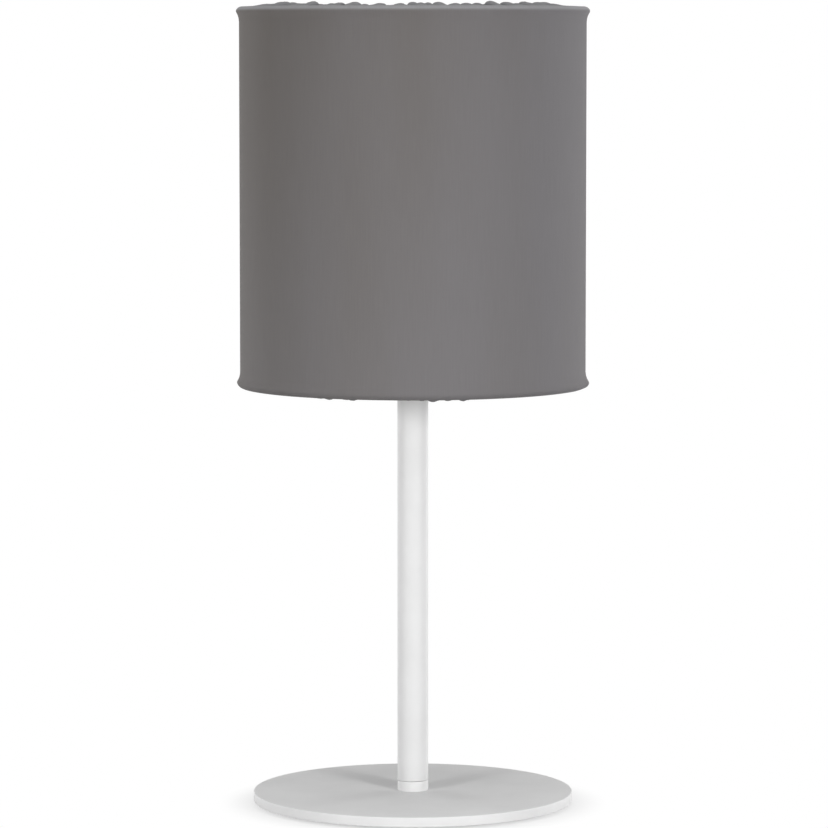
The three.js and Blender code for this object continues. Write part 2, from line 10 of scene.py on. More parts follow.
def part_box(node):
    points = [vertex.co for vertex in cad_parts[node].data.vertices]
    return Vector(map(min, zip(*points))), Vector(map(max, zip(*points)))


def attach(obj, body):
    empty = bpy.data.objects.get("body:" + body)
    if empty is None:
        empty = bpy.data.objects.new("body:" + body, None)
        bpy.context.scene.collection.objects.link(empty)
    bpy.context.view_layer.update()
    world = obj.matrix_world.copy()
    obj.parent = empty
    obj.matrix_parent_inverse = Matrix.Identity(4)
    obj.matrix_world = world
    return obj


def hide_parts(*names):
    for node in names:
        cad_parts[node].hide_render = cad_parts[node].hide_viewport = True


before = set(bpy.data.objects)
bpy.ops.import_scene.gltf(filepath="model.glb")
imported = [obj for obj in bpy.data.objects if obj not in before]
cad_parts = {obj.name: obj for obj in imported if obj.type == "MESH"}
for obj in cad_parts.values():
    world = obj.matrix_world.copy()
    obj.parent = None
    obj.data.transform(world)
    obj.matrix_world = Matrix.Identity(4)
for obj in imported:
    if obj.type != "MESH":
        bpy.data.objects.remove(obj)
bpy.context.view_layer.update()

mm = 0.001  # the meshes are drawn in millimetres and brought to metres once, in addPiece
fullTurn = 2 * pi
quarterTurn = Matrix.Rotation(pi / 2, 4, "X")  # stands a flat circle upright
sharpTurn = radians(30)  # an edge that turns more than this can be bevelled
close = 0.1  # mm; a point nearer than this counts as on the wall or the axis
mergeWithin = 0.0005  # mm between points that are one

# Camera, at the photograph's viewing angle

cameraView = dict(lens=191.03, sensor=36, place=(0.00082, -3.117, 0.5472), pitchDown=4.912)


def addObject(name, data):
    # Puts a mesh, a lamp or the camera into the scene
    thing = bpy.data.objects.new(name, data)
    bpy.context.collection.objects.link(thing)
    return thing


cameraData = bpy.data.cameras.new("photo_camera")
cameraData.lens = cameraView["lens"]
cameraData.sensor_width = cameraView["sensor"]
camera = addObject("photo_camera", cameraData)
camera.location = cameraView["place"]
camera.rotation_euler = (radians(90 - cameraView["pitchDown"]), 0, 0)
bpy.context.scene.camera = camera
print("camera set")

# Helpers for meshes


def limits(node):
    # A round node's lowest and highest level, and its radius, in millimetres
    low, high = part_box(node)
    return low[2] / mm, high[2] / mm, (high[0] - low[0]) / 2 / mm


def middleOf(node):
    # The middle of a node's box, in millimetres
    return [(low + high) / 2 / mm for low, high in zip(*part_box(node))]


def spun(bm, parts, steps, angle=fullTurn):
    # Spins parts of a mesh round the post's axis, and joins the ends of a full turn
    bmesh.ops.spin(
        bm, geom=parts, axis=(0, 0, 1), angle=angle, steps=steps, use_merge=angle == fullTurn
    )
    bmesh.ops.remove_doubles(bm, verts=bm.verts, dist=mergeWithin)
    bmesh.ops.recalc_face_normals(bm, faces=bm.faces)
    return bm


def turned(section, size):
    # Spins a section of (radius, height) points, in the piece's number of steps.
    # One that starts on the axis is left open, any other is closed to a loop.
    bm = bmesh.new()
    verts = [bm.verts.new((radius, 0, height)) for radius, height in section]
    pairs = list(zip(verts, verts[1:]))
    if section[0][0] > 0:
        pairs.append((verts[-1], verts[0]))
    return spun(bm, verts + [bm.edges.new(pair) for pair in pairs], size["steps"])


def hoop(outer, inner, low, high, size):
    # A ring of rectangular section
    return turned([(outer, low), (outer, high), (inner, high), (inner, low)], size)


def domed(inner, outer, low, rise, rows):
    # The section of a rounded shoulder, from its flat underside up to its wall
    angles = [i / rows * pi / 2 for i in range(rows + 1)]
    return [
        (inner + (outer - inner) * sin(angle), low + rise * (1 - cos(angle)))
        for angle in angles
    ]


def bevelSharp(bm, width, segments, where=None):
    # Rounds every sharp edge, or those of them that where picks
    edges = [
        edge for edge in bm.edges
        if len(edge.link_faces) == 2 and edge.calc_face_angle(0) > sharpTurn
        and (where is None or where(edge.verts[0].co))
    ]
    bmesh.ops.bevel(
        bm, geom=edges, offset=width, affect="EDGES", segments=segments, profile=0.5,
        clamp_overlap=True, material=-1,
    )
    return bm


def reshape(bm, outwards):
    # Moves each vertex out by what outwards gives for its radius, angle and height
    for vert in bm.verts:
        radius = hypot(vert.co.x, vert.co.y)
        if radius < close:
            continue
        out = outwards(radius, atan2(vert.co.y, vert.co.x), vert.co.z)
        vert.co.x *= (radius + out) / radius
        vert.co.y *= (radius + out) / radius


def extrudeRim(bm, rim):
    # Draws out a loop of edges, and gives the points and edges of its new end
    drawn = bmesh.ops.extrude_edge_only(bm, edges=rim)["geom"]
    points = [part for part in drawn if isinstance(part, bmesh.types.BMVert)]
    return points, [
        part for part in drawn
        if isinstance(part, bmesh.types.BMEdge) and set(part.verts) <= set(points)
    ]


def sweptWire(path, size):
    # A round wire along a path of points, drawn out by extruding its end from point to point
    def placed(i):
        along = path[min(i + 1, len(path) - 1)] - path[max(i - 1, 0)]
        return Matrix.Translation(path[i]) @ along.to_track_quat("Z", "Y").to_matrix().to_4x4()

    bm = bmesh.new()
    bmesh.ops.create_circle(
        bm, cap_ends=True, segments=size["sides"], radius=size["radius"], matrix=placed(0)
    )
    rim = bm.edges[:]
    for i in range(1, len(path)):
        end, rim = extrudeRim(bm, rim)
        bmesh.ops.transform(bm, verts=end, matrix=placed(i) @ placed(i - 1).inverted())
    bmesh.ops.holes_fill(bm, edges=rim, sides=0)
    bmesh.ops.recalc_face_normals(bm, faces=bm.faces)
    return bm


def weldBead(bm, place, size):
    # A small blob of weld where two wires meet
    shape = Matrix.Translation(place) @ Matrix.Diagonal(Vector(size)).to_4x4()
    bmesh.ops.create_icosphere(bm, subdivisions=2, radius=1, matrix=shape)


def smoothstep(low, high, value):
    share = min(1, max(0, (value - low) / (high - low)))
    return share * share * (3 - 2 * share)


def threadRows(radius, low, high, size):
    # The points of a straight wall that is fine enough for a thread
    count = max(2, round((high - low) / size["pitch"] * size["rowsPerTurn"]))
    return [(radius, low + (high - low) * i / count) for i in range(count + 1)]


def cutThread(bm, radius, low, high, size):
    # A right-handed helical groove in the wall at this radius, fading in and out at its ends.
    # A negative depth cuts outwards, into the wall of a bore.
    def groove(here, angle, height):
        inside = min(height - low, high - height)
        if abs(here - radius) > close or inside <= 0:
            return 0
        phase = fullTurn * height / size["pitch"] - angle
        fade = min(1, inside / size["pitch"])
        return -size["threadDepth"] * fade * (1 - cos(phase)) / 2

    reshape(bm, groove)


def meshObject(bm, name):
    mesh = bpy.data.meshes.new(name)
    bm.to_mesh(mesh)
    bm.free()
    return addObject(name, mesh)


def addPiece(bm, name, material, body, nodes, sharpAngle=35):
    # Makes the mesh a piece in metres, riding on its body in place of its CAD nodes
    bmesh.ops.scale(bm, vec=(mm, mm, mm), verts=bm.verts)
    piece = meshObject(bm, name)
    piece.data.shade_smooth()
    piece.data.set_sharp_from_angle(angle=radians(sharpAngle))
    piece.data.materials.append(material)
    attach(piece, body)
    if nodes:
        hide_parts(*nodes)
    return piece


# Helpers for materials


def linearColour(hexValue):
    channels = [int(hexValue[i : i + 2], 16) / 255 for i in (1, 3, 5)]
    linear = [c / 12.92 if c <= 0.04045 else ((c + 0.055) / 1.055) ** 2.4 for c in channels]
    return (*linear, 1)


def feed(node, inputs):
    # Gives each input its value, or a link from the output that feeds it
    for name, given in inputs.items():
        if isinstance(given, bpy.types.NodeSocket):
            node.id_data.links.new(given, node.inputs[name])
        else:
            node.inputs[name].default_value = given


def addNode(tree, kind, inputs=None, **settings):
    # Adds one node with its settings and inputs, and gives its outputs
    node = tree.nodes.new("ShaderNode" + kind)
    for name, setting in settings.items():
        setattr(node, name, setting)
    feed(node, inputs or {})
    return node.outputs


def newMaterial(name, **values):
    # A material with one Principled shader, whose fixed values are set on its own sockets
    material = bpy.data.materials.new(name)
    material.use_nodes = True
    shader = material.node_tree.nodes["Principled BSDF"]
    feed(shader, {socket.replace("_", " "): value for socket, value in values.items()})
    return material, material.node_tree, shader


# Materials

noiseSpan = {"From Min": 0.3, "From Max": 0.7}  # nearly all of a noise texture lies in here

powderCoatLook = dict(
    colours=("#e9e9e9", "#eeeeee"),
    colourEnds=(0.35, 0.65),
    mottle=38,  # mm across a patch of the slight unevenness in the coat
    orangePeel=1.6,  # mm from crest to crest of the baked powder
    peelHeight=0.012,
    roughness=(0.56, 0.68),
)


def powderCoatedSteel():
    # Polyester powder, sprayed and baked on steel: an even matt white whose fine orange peel
    # softens every highlight
    look = powderCoatLook
    material, tree, shader = newMaterial("powder_coated_steel", IOR=1.5)
    place = addNode(tree, "TexCoord")["Object"]
    mottle, peel = [
        addNode(
            tree, "TexNoise",
            {"Vector": place, "Scale": 1 / (width * mm), "Detail": detail, "Roughness": rough},
        )["Fac"]
        for width, detail, rough in ((look["mottle"], 3, 0.5), (look["orangePeel"], 1.5, 0.4))
    ]
    colour = addNode(tree, "ValToRGB", {"Fac": mottle})["Color"]
    stops = colour.node.color_ramp.elements
    for stop, end, tint in zip(stops, look["colourEnds"], look["colours"]):
        stop.position = end
        stop.color = linearColour(tint)
    low, high = look["roughness"]
    gloss = addNode(tree, "MapRange", {"Value": mottle, "To Min": low, "To Max": high})["Result"]
    bump = addNode(tree, "Bump", {"Height": peel, "Distance": look["peelHeight"] * mm})["Normal"]
    feed(shader, {"Base Color": colour, "Roughness": gloss, "Normal": bump})
    return material


clothLook = dict(
    # Painted shade: the wall is painted darker under the top ring than at its foot, and darker and
    # warmer on the left than on the right
    shadedWarm=("#696562", "#726f6e"),  # painted shade side, under the top ring and at the foot of the wall
    # painted lit side, under the top ring and at the foot of the wall
    litCool=("#757375", "#797779"),
    paintedTopLight=("#8f8f91", "#979799"),  # painted top light, in the top gathers and where it lies flat over the ring; dimmer in the gathers as painted shade
    # painted shade: how dark the cloth is painted where it turns under the bottom ring
    underShade=0.84,
    tone=0.02,
    thread=0.55,  # mm between threads; the real ones are finer than a pixel at this view
    threadRise=0.07,
    slub=(0.9, 26),  # mm across and along a thicker stretch of a thread
    band=(60, 420),  # mm across and along the slow change of tone
    girth=0.775,  # metres of cloth round the shade
    # Metres along the cloth, from its edge inside the top
    gatherEdge=(0.029, 0.037),  # where the gathers end
    paintedLightEdge=(0.0443, 0.0467),  # where it turns over the top ring, and the painted top light gives way to the wall
    wallRun=(0.055, 0.31),  # from the top of the wall to its foot
    underShadeEdge=(0.3086, 0.3114),  # where it turns under the bottom ring, and the painted shade begins
)


def wovenPolyesterCotton():
    # Plain-woven polyester and cotton, dyed taupe grey: matt, with loose fibre ends that catch
    # the light at the edges
    look = clothLook
    material, tree, shader = newMaterial(
        "woven_polyester_cotton", Roughness=0.9, IOR=1.45, Specular_IOR_Level=0.3,
        Sheen_Weight=0.08, Sheen_Roughness=0.45, Sheen_Tint=linearColour("#d9d6d6"),
    )
    place = addNode(tree, "TexCoord")["UV"]
    noises = []
    for (across, along), detail, rough in ((look["band"], 2, 0.45), (look["slub"], 1, 0.5)):
        scale = (1 / (across * mm), 1 / (along * mm), 1)
        drawn = addNode(tree, "Mapping", {"Vector": place, "Scale": scale})["Vector"]
        inputs = {"Vector": drawn, "Scale": 1, "Detail": detail, "Roughness": rough}
        noises.append(addNode(tree, "TexNoise", inputs)["Fac"])
    band, slub = noises
    # A wave texture's bands lie 0.1 pi apart at scale 1
    waves = {"Vector": place, "Scale": 0.1 * pi / (look["thread"] * mm)}
    warp, weft = [
        addNode(tree, "TexWave", waves, bands_direction=direction)["Fac"]
        for direction in ("X", "Y")
    ]
    weave = addNode(tree, "Math", {0: warp, 1: weft}, operation="MULTIPLY")[0]
    raised = addNode(tree, "Math", {0: weave, 1: slub}, operation="ADD")[0]
    cloth = addNode(tree, "SeparateXYZ", {0: place})
    down = cloth["Y"]
    # Painted side shade: the cloth is painted warmest and darkest a quarter of the way round
    #     # from the seam, on the left, and coolest and lightest at three quarters, on the right
    turn = addNode(
        tree, "Math", {0: cloth["X"], 1: fullTurn / look["girth"]}, operation="MULTIPLY"
    )[0]
    swing = addNode(tree, "Math", {0: turn}, operation="SINE")[0]
    # Painted top light: paler in the top gathers, palest where it lies flat over the top ring.
    #     # Painted shade: darker where it turns under the bottom ring, and darker at the top of
    #     the wall.
    uneven, lean, wall, yarn, flat, fade, paintedUnderShade = [
        addNode(
            tree, "MapRange",
            {"Value": source, "From Min": start, "From Max": end, "To Min": low, "To Max": high},
            interpolation_type=kind,
        )["Result"]
        for source, (start, end), (low, high), kind in (
            (band, noiseSpan.values(), (-0.2, 0.2), "LINEAR"),
            (swing, (1, -1), (0, 1), "LINEAR"),
            (down, look["wallRun"], (0, 1), "LINEAR"),
            (slub, noiseSpan.values(), (1 - look["tone"], 1 + look["tone"]), "LINEAR"),
            (down, look["gatherEdge"], (0, 1), "SMOOTHSTEP"),
            (down, look["paintedLightEdge"], (0, 1), "SMOOTHSTEP"),
            (down, look["underShadeEdge"], (1, look["underShade"]), "SMOOTHSTEP"),
        )
    ]
    # Random bands of tone, plus the painted side shade
    toneAndSideShade = addNode(tree, "Math", {0: uneven, 1: lean}, operation="ADD", use_clamp=True)[0]
    shadedWarm, litCool, paintedTopLight = [
        addNode(
            tree, "Mix",
            {"Factor": share, "A": linearColour(look[name][0]), "B": linearColour(look[name][1])},
            data_type="RGBA",
        )["Result"]
        for name, share in (("shadedWarm", wall), ("litCool", wall), ("paintedTopLight", flat))
    ]
    # Painted shade: the shaded side and the top of the wall are painted darker
    tone = addNode(tree, "Mix", {"Factor": toneAndSideShade, "A": shadedWarm, "B": litCool}, data_type="RGBA")["Result"]
    # Painted top light over the top ring and in its gathers
    toneWithTopLight = addNode(tree, "Mix", {"Factor": fade, "A": paintedTopLight, "B": tone}, data_type="RGBA")["Result"]
    # Painted shade where the cloth turns under the bottom ring, times the yarn's random tone
    shade = addNode(tree, "Math", {0: yarn, 1: paintedUnderShade}, operation="MULTIPLY")[0]
    # The cloth's colour, with its painted light and shade
    colourWithPaintedLight = addNode(tree, "VectorMath", {0: toneWithTopLight, 1: shade}, operation="MULTIPLY")["Vector"]
    bump = addNode(tree, "Bump", {"Height": raised, "Distance": look["threadRise"] * mm})["Normal"]
    feed(shader, {"Base Color": colourWithPaintedLight, "Normal": bump})
    return material


coarseness = 12  # how much broader the patches of tone and gloss are than the grain


def grained(name, colours, roughness, grain, grainHeight, **values):
    # A surface whose tone, gloss and fine relief all come from one grain size in millimetres
    material, tree, shader = newMaterial(name, **values)
    place = addNode(tree, "TexCoord")["Object"]
    fine, broad = [
        addNode(tree, "TexNoise", {"Vector": place, "Scale": 1 / (width * mm), "Detail": 2})["Fac"]
        for width in (grain, coarseness * grain)
    ]
    first, second = [linearColour(colour) for colour in colours]
    tone = addNode(tree, "Mix", {"Factor": broad, "A": first, "B": second}, data_type="RGBA")
    low, high = roughness
    gloss = addNode(
        tree, "MapRange", {"Value": broad, "To Min": low, "To Max": high, **noiseSpan}
    )
    bump = addNode(tree, "Bump", {"Height": fine, "Distance": grainHeight * mm})
    feed(
        shader,
        {"Base Color": tone["Result"], "Roughness": gloss["Result"], "Normal": bump["Normal"]},
    )
    return material


powderCoat = powderCoatedSteel()
cloth = wovenPolyesterCotton()
# Zinc plating on turned steel: bluish grey and softly bright, with a faint crystal grain
zincPlatedSteel = grained(
    "zinc_plated_steel", ("#a4a7aa", "#b4b6b8"), (0.32, 0.46), 0.5, 0.006, Metallic=1
)
# Stamped brass strip, bright on top with rolling marks
stampedBrass = grained(
    "stamped_brass", ("#c2994e", "#d3af68"), (0.28, 0.4), 0.3, 0.005, Metallic=1
)
# Nickel plating on a drawn and rolled brass shell: warm silver, quite bright
nickelPlatedBrass = grained(
    "nickel_plated_brass", ("#bfbcb4", "#cbc9c2"), (0.2, 0.32), 0.6, 0.005, Metallic=1
)
# Moulded nitrile rubber: near black, matt and a little dusty
mouldedRubber = grained(
    "moulded_rubber", ("#262627", "#313132"), (0.78, 0.9), 0.35, 0.03, IOR=1.5
)
# Soft PVC, injection moulded in white: a waxy, matt skin
softPvc = grained(
    "soft_pvc", ("#d6d5d1", "#dcdbd8"), (0.55, 0.68), 0.6, 0.01, IOR=1.53,
    Subsurface_Weight=0.15, Subsurface_Scale=0.001, Subsurface_Radius=(1, 1, 1),
)
# Glass-filled PBT, injection moulded: clean white with a fine spark-eroded grain
mouldedPbt = grained(
    "moulded_pbt", ("#e6e4df", "#eae8e4"), (0.4, 0.52), 0.4, 0.012, IOR=1.57
)
# Black glass, fused into the lamp cap as its insulator: deep and glossy
fusedGlass = grained(
    "fused_black_glass", ("#131212", "#1b1a1a"), (0.12, 0.2), 1.2, 0.02, IOR=1.52
)
# Opal polycarbonate, blow moulded: milky, so that light creeps into it
opalPolycarbonate = grained(
    "opal_polycarbonate", ("#efeee9", "#f4f3ef"), (0.28, 0.36), 3.0, 0.006, IOR=1.58,
    Subsurface_Weight=0.5, Subsurface_Scale=0.004, Subsurface_Radius=(1, 1, 1),
)
# Calendered PVC film, the shade's stiff lining: translucent off-white with a faint haze
calenderedPvc = grained(
    "calendered_pvc", ("#e9e8e5", "#eeedeb"), (0.5, 0.62), 1.5, 0.01, IOR=1.53,
    Subsurface_Weight=0.2, Subsurface_Scale=0.002, Subsurface_Radius=(1, 1, 1),
)
# Braided polyester over rubber: the elastic in the hems, matt dark grey
braidedElastic = grained(
    "braided_elastic", ("#454443", "#504f4e"), (0.85, 0.95), 0.7, 0.12, IOR=1.45,
    Sheen_Weight=0.2,
)
# Spun polyester sewing thread, dyed to the cloth
sewingThread = grained(
    "spun_polyester_thread", ("#64605e", "#706c6a"), (0.6, 0.75), 0.25, 0.05, IOR=1.5,
    Sheen_Weight=0.3,
)
print("materials made")

# Base

basePlate = dict(steps=192, bore=4.3, sinkRadius=8.3, sinkRim=0.9, edge=0.7, holeEdge=0.15)


def makeBasePlate(size=basePlate):
    low, high, outer = limits("base_plate")
    rim = low + size["sinkRim"]
    section = [
        (outer, low), (outer, high), (size["bore"], high),
        (size["bore"], rim + size["sinkRadius"] - size["bore"]),
        (size["sinkRadius"], rim), (size["sinkRadius"], low),
    ]
    bm = turned(section, size)
    bevelSharp(bm, size["edge"], 4, lambda co: co.xy.length > outer - close)
    bevelSharp(bm, size["holeEdge"], 2, lambda co: co.xy.length < outer / 2)
    addPiece(bm, "base_disc", powderCoat, "lamp_stand", ["base_plate"])


foot = dict(steps=64, taper=0.7, edge=0.35, dimple=1.8, dimpleDepth=0.35)


def makeFoot(number, size=foot):
    node = f"foot_{number}"
    x, y = middleOf(node)[:2]
    top, radius = limits(node)[1:]
    deep = size["dimpleDepth"]
    section = [
        (0, deep), (size["dimple"], deep), (size["dimple"] + deep, 0),
        (radius - size["taper"], 0), (radius, top), (0, top),
    ]
    bm = bevelSharp(turned(section, size), size["edge"], 3)
    bmesh.ops.translate(bm, vec=(x, y, 0), verts=bm.verts)
    addPiece(bm, f"rubber_{node}", mouldedRubber, "lamp_stand", [node])


baseScrew = dict(
    steps=60, headRim=0.6, shank=4, tip=1, edge=0.2,
    pitch=1.25, threadDepth=0.65, rowsPerTurn=8,
    threadFrom=9,  # from the head's face
    socketFlats=5, socketDepth=3, socketRim=0.35,
)


def makeBaseScrew(size=baseScrew):
    # A countersunk M8 screw with a hexagon socket, seen from under the plate
    low, high, head = limits("base_screw")
    shank = size["shank"]
    socket = size["socketFlats"] / sqrt(3)
    start, finish = low + size["threadFrom"], high - size["tip"]
    section = [
        (0, high), (shank - size["tip"], high),
        *threadRows(shank, start, finish, size)[::-1],
        (shank, low + size["headRim"] + head - shank), (head, low + size["headRim"]),
        (head, low), (socket + size["socketRim"], low),
    ]
    bm = turned(section, size)
    rim = [edge for edge in bm.edges if edge.is_boundary]
    hexagon = bmesh.ops.create_circle(
        bm, segments=6, radius=socket, matrix=Matrix.Translation((0, 0, low + size["socketRim"]))
    )["verts"]
    mouth = [edge for edge in bm.edges if set(edge.verts) <= set(hexagon)]
    bmesh.ops.bridge_loops(bm, edges=rim + mouth)
    floor, bottom = extrudeRim(bm, mouth)
    bmesh.ops.translate(bm, vec=(0, 0, size["socketDepth"]), verts=floor)
    bmesh.ops.holes_fill(bm, edges=bottom, sides=0)
    bmesh.ops.recalc_face_normals(bm, faces=bm.faces)
    cutThread(bm, shank, start, finish, size)
    bevelSharp(bm, size["edge"], 2, lambda co: co.xy.length > head - close)
    addPiece(bm, "countersunk_screw", zincPlatedSteel, "lamp_stand", ["base_screw"])


makeBasePlate()
for number in (1, 2, 3, 4):
    makeFoot(number)
makeBaseScrew()
print("base made")

# Post

postCollar = dict(steps=96, bore=4.3, spigot=9.2, spigotHeight=3.5, edge=0.25)


def makePostCollar(size=postCollar):
    low, high, outer = limits("post_collar")
    shoulder = high - size["spigotHeight"]
    section = [
        (outer, low), (outer, shoulder), (size["spigot"], shoulder), (size["spigot"], high),
        (size["bore"], high), (size["bore"], low),
    ]
    bm = turned(section, size)
    bevelSharp(bm, size["edge"], 3, lambda co: co.xy.length > outer - close)
    addPiece(bm, "collar", powderCoat, "lamp_stand", ["post_collar"])


postTube = dict(steps=128, bore=9.5, edge=0.15, cableHole=4.3, holeMargin=1.2, holeSides=48)


def makePostTube(size=postTube):
    low, high, outer = limits("post_tube")
    hole = middleOf("cable_grommet")[2]
    # The wall is cut across just above and below the hole, so that it stays smooth elsewhere
    reach = size["cableHole"] + size["holeMargin"]
    levels = [low, hole - reach, hole + reach, high]
    section = [(outer, level) for level in levels]
    section += [(size["bore"], level) for level in reversed(levels)]
    bm = bevelSharp(turned(section, size), size["edge"], 2)
    tube = addPiece(bm, "tube", powderCoat, "lamp_stand", ["post_tube"])
    bm = bmesh.new()
    radius = size["cableHole"] * mm
    bmesh.ops.create_cone(
        bm, cap_ends=True, segments=size["holeSides"], radius1=radius, radius2=radius,
        depth=2 * outer * mm,
        matrix=Matrix.Translation((0, outer * mm, hole * mm)) @ quarterTurn,
    )
    drill = meshObject(bm, "hole_drill")
    tube.modifiers.new("cable_hole", "BOOLEAN").object = drill
    drilled = bpy.data.meshes.new_from_object(
        tube.evaluated_get(bpy.context.evaluated_depsgraph_get())
    )
    tube.modifiers.clear()
    tube.data = drilled
    bpy.data.objects.remove(drill)


grommet = dict(steps=64, bore=3.3, neck=4, flange=5.8, lip=1.6, gap=0.3, edge=0.45)


def makeGrommet(size=grommet):
    # Turned round its own hole, then bent to the round of the tube
    outer = limits("post_tube")[2]
    bore, neck, flange, lip = [size[name] for name in ("bore", "neck", "flange", "lip")]
    inside, outside = postTube["bore"] - size["gap"], outer + size["gap"]
    section = [
        (bore, inside - lip), (flange, inside - lip), (flange, inside), (neck, inside),
        (neck, outside), (flange, outside), (flange, outside + lip), (bore, outside + lip),
    ]
    bm = bevelSharp(turned(section, size), size["edge"], 3)
    bmesh.ops.rotate(bm, matrix=Matrix.Rotation(-pi / 2, 3, "X"), verts=bm.verts)
    bmesh.ops.translate(bm, vec=(0, 0, middleOf("cable_grommet")[2]), verts=bm.verts)
    for vert in bm.verts:
        vert.co.y -= outer - sqrt(outer**2 - vert.co.x**2)
    addPiece(bm, "grommet", softPvc, "lamp_stand", ["cable_grommet"])


makePostCollar()
makePostTube()
makeGrommet()
print("post made")

# Lampholder

holderWasher = dict(steps=72, bore=5.3, edge=0.2)


def makeWasher(size, node, name, material, body):
    low, high, outer = limits(node)
    bm = bevelSharp(hoop(outer, size["bore"], low, high, size), size["edge"], 2)
    addPiece(bm, name, material, body, [node])


holderCap = dict(
    steps=240, curveRows=10, shoulder=10, wall=2.2, bush=8, bore=5.3,
    underside=9.6,  # radius of the flat underside
    ledgeHeight=13, ledgeWidth=5, edge=0.3,
    flutes=40, fluteDepth=0.45,
    fluteRows=(11.5, 12.5, 20.5, 21.5),  # levels where they start, are full, and end
)


def makeHolderCap(size=holderCap):
    low, high, outer = limits("holder_cap")
    inner = outer - size["wall"]
    ledge = inner - size["ledgeWidth"]
    section = domed(size["underside"], outer, low, size["shoulder"], size["curveRows"])
    section += [(outer, low + height) for height in size["fluteRows"]]
    section += [
        (outer, high), (inner, high), (inner, low + size["ledgeHeight"]),
        (ledge, low + size["ledgeHeight"]), (ledge, low + size["bush"]),
        (size["bore"], low + size["bush"]), (size["bore"], low),
    ]
    bm = turned(section, size)
    fluteFrom, *_, fluteTo = size["fluteRows"]

    def flute(radius, angle, height):
        if radius < outer - close or not fluteFrom < height - low < fluteTo:
            return 0
        return -size["fluteDepth"] * (1 + cos(size["flutes"] * angle)) / 2

    reshape(bm, flute)
    bevelSharp(bm, size["edge"], 2)
    addPiece(bm, "holder_dome", mouldedPbt, "lamp_stand", ["holder_cap"])


holderShell = dict(
    steps=144, body=19.2, flangeThickness=3, skirtStep=0.6, wall=2.2,
    thread=19.6, threadLength=15, pitch=3, threadDepth=0.8, rowsPerTurn=10,
    threadStart=0.5,  # above the flange
    bore=14.52, mouth=13.7, lowerBore=16.7, edge=0.3,
    lowerBoreTop=1.9,  # above the shell's lower edge
)


def makeHolderShell(size=holderShell):
    low, high, flange = limits("holder_shell")
    seat = limits("fitter_ring")[0]
    under = seat - size["flangeThickness"]
    thread, threadTop = size["thread"], seat + size["threadLength"]
    step = size["skirtStep"]
    skirt = thread - 2 * step
    ceiling, ledge = high - size["wall"], low + size["lowerBoreTop"]
    section = [
        (size["body"], low), (size["body"], under), (flange, under), (flange, seat),
        *threadRows(thread, seat, threadTop, size),
        (skirt, threadTop + step), (skirt, high - step), (skirt - step, high),
        (size["mouth"], high), (size["mouth"], ceiling), (size["bore"], ceiling),
        (size["bore"], ledge), (size["lowerBore"], ledge), (size["lowerBore"], low),
    ]

    def outerEdge(co):
        return co.xy.length > flange - close or co.z > high - close or co.z < low + close

    bm = bevelSharp(turned(section, size), size["edge"], 2, outerEdge)
    cutThread(bm, thread, seat + size["threadStart"], threadTop, size)
    addPiece(bm, "holder_sleeve", mouldedPbt, "lamp_stand", ["holder_shell"])


makeWasher(holderWasher, "holder_washer", "washer", zincPlatedSteel, "lamp_stand")
makeHolderCap()
makeHolderShell()

# These are hidden or hardly seen, so their CAD shapes stay and take a finish
hiddenFinishes = [
    (zincPlatedSteel, ["tube_foot_insert", "tube_top_insert", "holder_nipple"]),
    (mouldedPbt, ["holder_block"]),
    (stampedBrass, ["terminal_screw_1", "terminal_screw_2", "centre_contact", "side_contact"]),
]
for finish, nodes in hiddenFinishes:
    for node in nodes:
        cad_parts[node].data.materials.clear()
        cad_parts[node].data.materials.append(finish)
print("lampholder made")

# Shade frame

fitterRing = dict(steps=128, bore=20.2, edge=0.3)

ringWire = dict(radius=2.5, sides=20, steps=192, weld=(1.4, 2.9, 2.7))
ringCentre = limits("bottom_ring")[2] - ringWire["radius"]


def makeWireRing(node, name, size=ringWire):
    # A wire bent to a circle, butt welded at the back
    middle = middleOf(node)[2]
    bm = bmesh.new()
    around = Matrix.Translation((ringCentre, 0, middle)) @ quarterTurn
    bmesh.ops.create_circle(bm, segments=size["sides"], radius=size["radius"], matrix=around)
    spun(bm, bm.verts[:] + bm.edges[:], size["steps"])
    weldBead(bm, (0, ringCentre, middle), size["weld"])
    addPiece(bm, name, powderCoat, "shade", [node])


upright = dict(radius=1.5, sides=16, overlap=0.4, bead=(2.1, 2.1, 1.1))


def makeUpright(number, size=upright):
    node = f"upright_{number}"
    x, y = middleOf(node)[:2]
    low, high = limits(node)[:2]
    bottom = Vector((x, y, low - size["overlap"]))
    top = Vector((x, y, high + size["overlap"]))
    bm = sweptWire([bottom, bottom.lerp(top, 0.5), top], size)
    for end in (bottom, top):
        weldBead(bm, end, size["bead"])
    addPiece(bm, f"upright_wire_{number}", powderCoat, "shade", [node])


spiderArm = dict(
    radius=1.75, sides=16, lap=5.5, level=5, landing=9, gap=0.3,
    bend=6, bendSteps=8,
    # A bead's place, outwards and up, and its size
    fitterBead=(-1.2, -0.5, (2.4, 2.6, 0.8)), ringBead=(0.1, 0, (0.9, 2.4, 2.4)),
)


